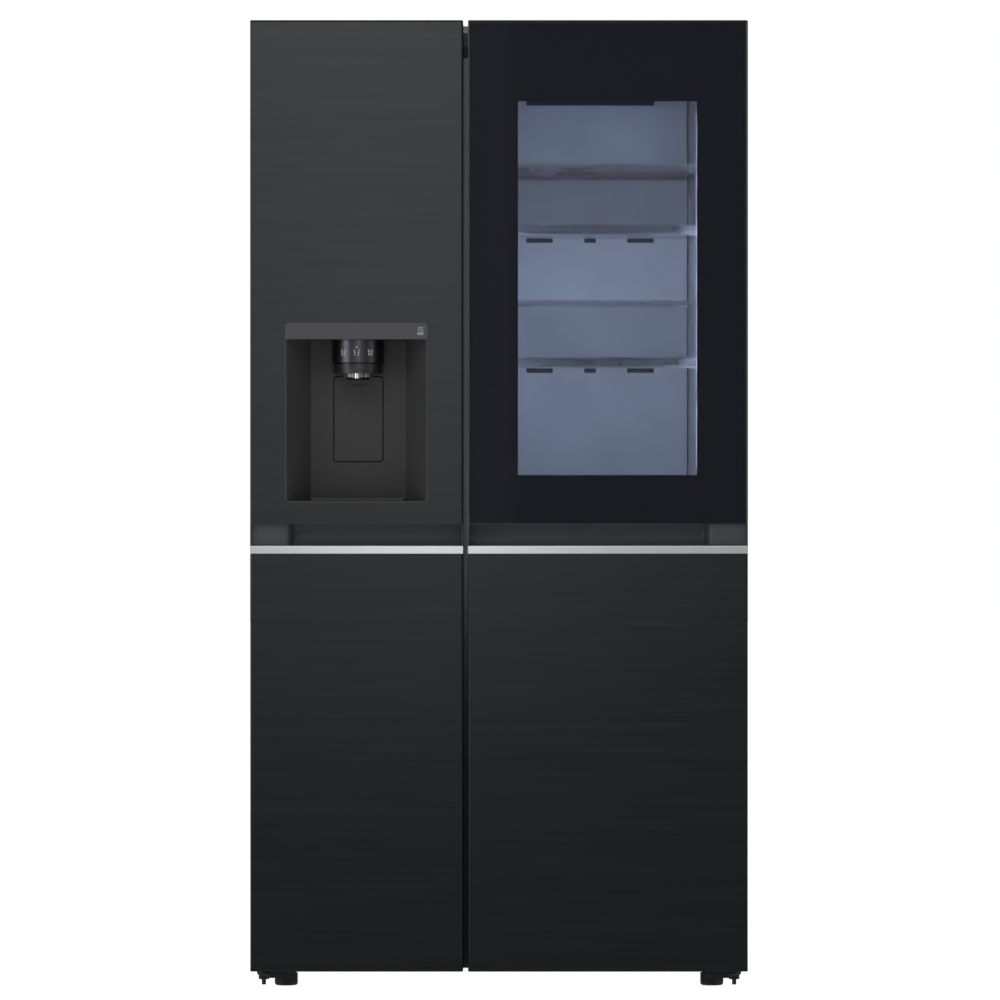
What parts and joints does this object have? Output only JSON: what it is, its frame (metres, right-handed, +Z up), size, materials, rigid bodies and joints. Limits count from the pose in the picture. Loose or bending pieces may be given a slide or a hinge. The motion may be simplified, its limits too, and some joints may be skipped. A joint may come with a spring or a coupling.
{
  "type": "side by side refrigerator",
  "caption": "Tall side by side refrigerator with dark brushed doors, an ice and water dispenser in the left door, and a black glass window in the upper right door.",
  "frame": {"origin": "on the floor, at the centre of the overall width and depth", "axes": "+Z up; the doors' front faces -Y; +X is to the viewer's right when facing the doors"},
  "size_m": [0.913, 0.735, 1.79],
  "materials": {
    "dark_steel": "satin",
    "cabinet_paint": "satin",
    "bright_strip": "satin",
    "zinc_steel": "satin",
    "foam": "matte",
    "white_plastic": "satin",
    "dark_plastic": "satin",
    "charcoal_gloss": "gloss",
    "clear_plastic": "gloss",
    "door_glass": "gloss",
    "clear_glass": "gloss",
    "seal_rubber": "matte",
    "head_metal": "satin",
    "nozzle_chrome": "polished",
    "compressor_paint": "satin",
    "coil_aluminium": "matte"
  },
  "bodies": {
    "cabinet": {"cabinet_case": "cabinet_paint", "cabinet_insulation": "foam", "rear_panel": "zinc_steel", "machine_cover": "zinc_steel", "freezer_liner": "white_plastic", "fridge_liner": "white_plastic", "mullion_strip": "cabinet_paint", "top_covers": "dark_plastic", "upper_hinges": "zinc_steel", "lower_hinges": "zinc_steel", "hinge_adjusting_bolts": "zinc_steel", "base_frame": "zinc_steel", "compressor": "compressor_paint", "condenser": "coil_aluminium", "condenser_fan_shroud": "dark_plastic", "fridge_duct_panel": "white_plastic", "freezer_duct_panel": "white_plastic", "fridge_ceiling_light": "clear_plastic", "fridge_shelves": "clear_glass", "freezer_shelves": "clear_glass", "fridge_shelf_trims": "white_plastic"},
    "freezer_door": {"freezer_door_upper_panel": "dark_steel", "freezer_door_lower_panel": "dark_steel", "freezer_door_handle_channel": "dark_plastic", "freezer_door_trim_strip": "bright_strip", "freezer_door_insulation": "foam", "freezer_door_liner": "white_plastic", "freezer_door_gasket": "seal_rubber", "freezer_door_end_caps": "dark_plastic", "freezer_door_baskets": "clear_plastic", "ice_bin": "clear_plastic", "ice_maker": "white_plastic", "dispenser_housing": "charcoal_gloss", "dispenser_fascia": "charcoal_gloss", "dispenser_head": "charcoal_gloss", "dispenser_collar": "head_metal", "dispenser_nozzle": "nozzle_chrome", "dispenser_drip_tray": "charcoal_gloss"},
    "paddle": {"dispenser_paddle": "charcoal_gloss"},
    "fridge_door": {"fridge_door_upper_frame": "dark_steel", "fridge_door_lower_panel": "dark_steel", "fridge_door_handle_channel": "dark_plastic", "fridge_door_trim_strip": "bright_strip", "fridge_door_insulation": "foam", "fridge_door_liner": "white_plastic", "fridge_door_gasket": "seal_rubber", "fridge_door_end_caps": "dark_plastic", "fridge_door_baskets": "clear_plastic", "fridge_door_glass": "door_glass", "window_frame": "dark_plastic", "window_inner_glass": "clear_glass"},
    "drawer_fridge_upper": {"fridge_drawer_upper": "clear_plastic"},
    "drawer_fridge_lower": {"fridge_drawer_lower": "clear_plastic"},
    "drawer_freezer_upper": {"freezer_drawer_upper": "clear_plastic"},
    "drawer_freezer_lower": {"freezer_drawer_lower": "clear_plastic"},
    "left_foot": {"left_levelling_foot": "dark_plastic"},
    "right_foot": {"right_levelling_foot": "dark_plastic"},
    "left_roller": {"left_rear_roller": "dark_plastic"},
    "right_roller": {"right_rear_roller": "dark_plastic"},
    "fan": {"condenser_fan": "dark_plastic"}
  },
  "joints": [
    {"name": "freezer_door_hinge", "type": "hinge", "parent": "cabinet", "child": "freezer_door", "pos_m": [-0.434, -0.3, 0.9], "axis": [0, 0, -1], "range_deg": [0, 120]},
    {"name": "fridge_door_hinge", "type": "hinge", "parent": "cabinet", "child": "fridge_door", "pos_m": [0.434, -0.3, 0.9], "axis": [0, 0, 1], "range_deg": [0, 120]},
    {"name": "paddle_hinge", "type": "hinge", "parent": "freezer_door", "child": "paddle", "pos_m": [-0.2596, -0.2934, 1.1234], "axis": [1, 0, 0], "range_deg": [0, 5], "stiffness_Nm_per_rad": 1.5, "springref_deg": -2.86},
    {"name": "drawer_fridge_upper_slide", "type": "slide", "parent": "cabinet", "child": "drawer_fridge_upper", "axis": [0, -1, 0], "range_m": [0, 0.055]},
    {"name": "drawer_fridge_lower_slide", "type": "slide", "parent": "cabinet", "child": "drawer_fridge_lower", "axis": [0, -1, 0], "range_m": [0, 0.055]},
    {"name": "drawer_freezer_upper_slide", "type": "slide", "parent": "cabinet", "child": "drawer_freezer_upper", "axis": [0, -1, 0], "range_m": [0, 0.055]},
    {"name": "drawer_freezer_lower_slide", "type": "slide", "parent": "cabinet", "child": "drawer_freezer_lower", "axis": [0, -1, 0], "range_m": [0, 0.055]},
    {"name": "left_foot_turn", "type": "hinge", "parent": "cabinet", "child": "left_foot", "pos_m": [-0.395, -0.24, 0], "axis": [0, 0, 1], "continuous": true},
    {"name": "right_foot_turn", "type": "hinge", "parent": "cabinet", "child": "right_foot", "pos_m": [0.395, -0.24, 0], "axis": [0, 0, 1], "continuous": true},
    {"name": "left_roller_spin", "type": "hinge", "parent": "cabinet", "child": "left_roller", "pos_m": [-0.39, 0.3, 0.02], "axis": [1, 0, 0], "continuous": true},
    {"name": "right_roller_spin", "type": "hinge", "parent": "cabinet", "child": "right_roller", "pos_m": [0.39, 0.3, 0.02], "axis": [1, 0, 0], "continuous": true},
    {"name": "condenser_fan_spin", "type": "hinge", "parent": "cabinet", "child": "fan", "pos_m": [-0.02, 0.262, 0.14], "axis": [1, 0, 0], "continuous": true}
  ]
}
